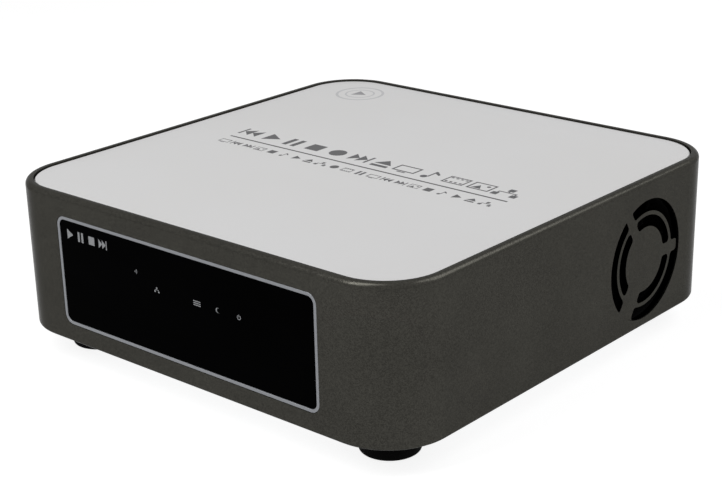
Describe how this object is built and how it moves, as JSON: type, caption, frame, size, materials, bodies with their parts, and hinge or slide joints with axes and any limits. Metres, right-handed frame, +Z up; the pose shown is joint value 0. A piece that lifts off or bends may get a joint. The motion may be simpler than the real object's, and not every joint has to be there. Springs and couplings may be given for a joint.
{
  "type": "network media player with hard drive tray",
  "caption": "Square desktop media player: grey band case, pale inset top, black front window, side fan grille, round feet and a hard drive tray that slides out of the rear.",
  "frame": {"origin": "on the table, under the middle of the case: the centre of the bottom of the bounding box", "axes": "+Z up, front window towards -Y, fan grille on the +X side, tray and sockets towards +Y"},
  "size_m": [0.2, 0.202, 0.07],
  "materials": {
    "band_paint": "fine metallic grey, anodised",
    "panel_paint": "satin pale grey, anodised",
    "tape": "matte",
    "zinc_sheet": "zinc plated",
    "screw_steel": "nickel plated",
    "screw_black": "black oxide",
    "foot_rubber": "matte",
    "trim_silver": "satin silver",
    "window_black": "gloss",
    "board_green": "solder mask",
    "black_plastic": "fine texture",
    "lamp_clear": "clear",
    "ribbon": "matte",
    "bearing_bronze": "sintered",
    "coil_copper": "enamelled",
    "wire_black": "matte",
    "brass_pillar": "turned",
    "chip_black": "matte",
    "sink_aluminium": "extruded",
    "can_aluminium": "satin",
    "socket_metal": "stamped",
    "jack_metal": "plated",
    "rocker_gloss": "gloss",
    "handle_steel": "polished",
    "cast_silver": "cast",
    "cover_steel": "brushed",
    "magnet_grey": "sintered"
  },
  "bodies": {
    "case": {"body_band": "band_paint", "top_panel": "panel_paint", "panel_tape": "tape", "base_plate": "zinc_sheet", "base_screws": "screw_steel", "rubber_feet": "foot_rubber", "foot_screws": "screw_steel", "window_trim": "trim_silver", "front_window": "window_black", "display_board": "board_green", "display_screws": "screw_steel", "lamp_shroud": "black_plastic", "status_lamps": "lamp_clear", "ir_receiver": "window_black", "display_ribbon": "ribbon", "fan_grille": "band_paint", "fan_frame": "black_plastic", "fan_bearing": "bearing_bronze", "fan_stator": "coil_copper", "fan_screws": "screw_black", "fan_wire": "wire_black", "main_board": "board_green", "board_standoffs": "brass_pillar", "board_screws": "screw_steel", "processor": "chip_black", "heat_sink": "sink_aluminium", "memory_chips": "chip_black", "capacitors": "can_aluminium", "power_coils": "chip_black", "clock_battery": "can_aluminium", "rear_panel": "zinc_sheet", "rear_panel_screws": "screw_black", "network_socket": "socket_metal", "data_sockets": "socket_metal", "video_socket": "socket_metal", "optical_socket": "black_plastic", "av_jacks": "jack_metal", "power_inlet": "black_plastic", "rocker_housing": "black_plastic", "reset_switch": "black_plastic", "cage_posts": "brass_pillar", "drive_cage": "zinc_sheet", "cage_screws": "screw_steel", "riser_board": "board_green", "riser_slot": "black_plastic", "drive_socket": "black_plastic"},
    "tray": {"tray_sled": "zinc_sheet", "tray_bezel": "black_plastic", "handle_pins": "screw_steel", "drive_body": "cast_silver", "drive_board": "board_green", "drive_cover": "cover_steel", "drive_plug": "black_plastic", "drive_screws": "screw_steel"},
    "handle": {"tray_handle": "handle_steel"},
    "fan_wheel": {"fan_rotor": "black_plastic", "fan_magnet": "magnet_grey", "fan_shaft": "screw_steel"},
    "rocker": {"power_rocker": "rocker_gloss"},
    "reset": {"reset_cap": "rocker_gloss"}
  },
  "joints": [
    {"name": "tray_slide", "type": "slide", "parent": "case", "child": "tray", "axis": [0, 1, 0], "range_m": [0, 0.13]},
    {"name": "handle_swing", "type": "hinge", "parent": "tray", "child": "handle", "pos_m": [-0.0105, 0.0966, 0.05845], "axis": [1, 0, 0], "range_deg": [0, 90]},
    {"name": "fan_spin", "type": "hinge", "parent": "case", "child": "fan_wheel", "pos_m": [0.0918, 0.0466, 0.03815], "axis": [1, 0, 0], "continuous": true},
    {"name": "rocker_tip", "type": "hinge", "parent": "case", "child": "rocker", "pos_m": [0.0556, 0.0915, 0.0524], "axis": [1, 0, 0], "range_deg": [0, 16]},
    {"name": "reset_press", "type": "slide", "parent": "case", "child": "reset", "axis": [0, -1, 0], "range_m": [0, 0.0008], "stiffness_N_per_m": 1500, "springref_m": -0.0004}
  ]
}
